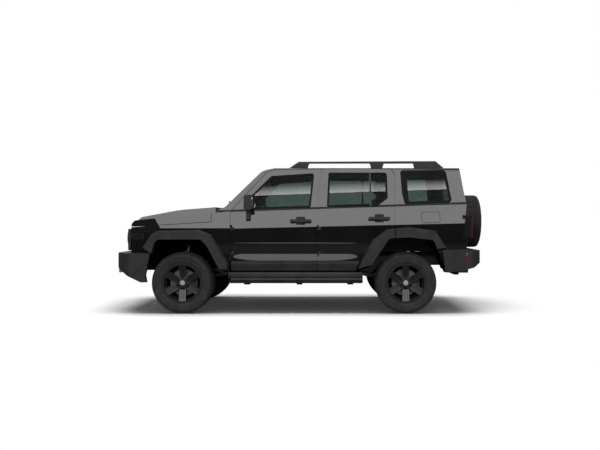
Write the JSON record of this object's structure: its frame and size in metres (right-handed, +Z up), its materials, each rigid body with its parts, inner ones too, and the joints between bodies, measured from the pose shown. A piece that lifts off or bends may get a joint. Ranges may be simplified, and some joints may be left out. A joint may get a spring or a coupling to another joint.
{
  "type": "off-road car",
  "caption": "Black off-road 4x4 with doors, bonnet, tailgate, steered and turning wheels, on a ladder frame",
  "frame": {"origin": "on the ground under the middle of the outer box", "axes": "-X to the nose, -Y to the left side, +Z up"},
  "size_m": [4.74, 2.114, 1.903],
  "materials": {
    "black_paint": "gloss",
    "window_glass": "smoked",
    "dark_plastic": "grained",
    "bare_steel": "satin",
    "chassis_steel": "satin",
    "cast_alloy": "cast",
    "tyre_rubber": "matte",
    "rim_alloy": "satin",
    "exhaust_steel": "satin",
    "tank_plastic": "smooth",
    "lamp_glass": "clear",
    "red_lens": "gloss",
    "cabin_plastic": "grained",
    "seat_leather": "soft"
  },
  "bodies": {
    "body": {"arch_flares": "dark_plastic", "arch_liners": "dark_plastic", "body_glass": "window_glass", "body_shell": "black_paint", "cowl": "dark_plastic", "dashboard": "cabin_plastic", "door_hinges": "bare_steel", "driveline": "cast_alloy", "engine": "cast_alloy", "exhaust": "exhaust_steel", "front_axle": "chassis_steel", "front_bumper": "dark_plastic", "front_lamps": "lamp_glass", "front_seats": "seat_leather", "front_suspension": "bare_steel", "front_wings": "black_paint", "fuel_tank": "tank_plastic", "grille": "dark_plastic", "headrests": "seat_leather", "ladder_frame": "chassis_steel", "radiator": "cast_alloy", "rear_axle": "chassis_steel", "rear_bumper": "dark_plastic", "rear_seat": "seat_leather", "roof_rails": "dark_plastic", "seat_bases": "chassis_steel", "side_steps": "dark_plastic", "tail_lamps": "red_lens", "tow_hooks": "bare_steel"},
    "knuckle_left": {"front_knuckle_left": "chassis_steel"},
    "knuckle_right": {"front_knuckle_right": "chassis_steel"},
    "wheel_front_left": {"tyre_front_left": "tyre_rubber", "rim_front_left": "rim_alloy"},
    "door_front_left": {"front_door_left": "black_paint", "front_door_glass_left": "window_glass", "front_door_trim_left": "dark_plastic"},
    "wheel_front_right": {"tyre_front_right": "tyre_rubber", "rim_front_right": "rim_alloy"},
    "door_front_right": {"front_door_right": "black_paint", "front_door_glass_right": "window_glass", "front_door_trim_right": "dark_plastic"},
    "wheel_rear_left": {"tyre_rear_left": "tyre_rubber", "rim_rear_left": "rim_alloy"},
    "door_rear_left": {"rear_door_left": "black_paint", "rear_door_glass_left": "window_glass", "rear_door_trim_left": "dark_plastic"},
    "wheel_rear_right": {"tyre_rear_right": "tyre_rubber", "rim_rear_right": "rim_alloy"},
    "door_rear_right": {"rear_door_right": "black_paint", "rear_door_glass_right": "window_glass", "rear_door_trim_right": "dark_plastic"},
    "bonnet": {"bonnet": "black_paint"},
    "tailgate": {"tailgate": "black_paint", "tailgate_glass": "window_glass", "tailgate_trim": "dark_plastic", "spare_tyre": "tyre_rubber", "spare_rim": "rim_alloy"},
    "fuel_flap": {"fuel_flap": "black_paint"},
    "steering_wheel": {"steering_wheel": "cabin_plastic"}
  },
  "joints": [
    {"name": "door_front_left", "type": "hinge", "parent": "body", "child": "door_front_left", "pos_m": [-0.849, -0.911, 0.9], "axis": [0, 0, -1], "range_deg": [0, 65]},
    {"name": "door_rear_left", "type": "hinge", "parent": "body", "child": "door_rear_left", "pos_m": [0.22, -0.911, 0.9], "axis": [0, 0, -1], "range_deg": [0, 65]},
    {"name": "door_front_right", "type": "hinge", "parent": "body", "child": "door_front_right", "pos_m": [-0.849, 0.911, 0.9], "axis": [0, 0, 1], "range_deg": [0, 65]},
    {"name": "door_rear_right", "type": "hinge", "parent": "body", "child": "door_rear_right", "pos_m": [0.22, 0.911, 0.9], "axis": [0, 0, 1], "range_deg": [0, 65]},
    {"name": "tailgate", "type": "hinge", "parent": "body", "child": "tailgate", "pos_m": [2.089, 0.709, 1.1], "axis": [0, 0, 1], "range_deg": [0, 90]},
    {"name": "bonnet", "type": "hinge", "parent": "body", "child": "bonnet", "pos_m": [-1.085, 0, 1.306], "axis": [0, 1, 0], "range_deg": [0, 50]},
    {"name": "fuel_flap", "type": "hinge", "parent": "body", "child": "fuel_flap", "pos_m": [1.53, -0.87826, 1.18195], "axis": [0, -0.158, -0.9874], "range_deg": [0, 80]},
    {"name": "steering_left", "type": "hinge", "parent": "body", "child": "knuckle_left", "pos_m": [-1.45, -0.744, 0.376], "axis": [0, 0, 1], "range_deg": [-34, 34]},
    {"name": "wheel_front_left", "type": "hinge", "parent": "knuckle_left", "child": "wheel_front_left", "pos_m": [-1.45, -0.804, 0.376], "axis": [0, 1, 0], "continuous": true},
    {"name": "wheel_rear_left", "type": "hinge", "parent": "body", "child": "wheel_rear_left", "pos_m": [1.3, -0.804, 0.376], "axis": [0, 1, 0], "continuous": true},
    {"name": "steering_right", "type": "hinge", "parent": "body", "child": "knuckle_right", "pos_m": [-1.45, 0.744, 0.376], "axis": [0, 0, 1], "range_deg": [-34, 34]},
    {"name": "wheel_front_right", "type": "hinge", "parent": "knuckle_right", "child": "wheel_front_right", "pos_m": [-1.45, 0.804, 0.376], "axis": [0, 1, 0], "continuous": true},
    {"name": "wheel_rear_right", "type": "hinge", "parent": "body", "child": "wheel_rear_right", "pos_m": [1.3, 0.804, 0.376], "axis": [0, 1, 0], "continuous": true},
    {"name": "steering_wheel", "type": "hinge", "parent": "body", "child": "steering_wheel", "pos_m": [-0.53, -0.37, 1.14], "axis": [0.9389, 0, 0.3442], "range_deg": [-510, 510]}
  ],
  "couplings": [
    {"joint": "steering_right", "follows": "steering_left", "ratio": 1},
    {"joint": "steering_wheel", "follows": "steering_left", "ratio": 15}
  ]
}
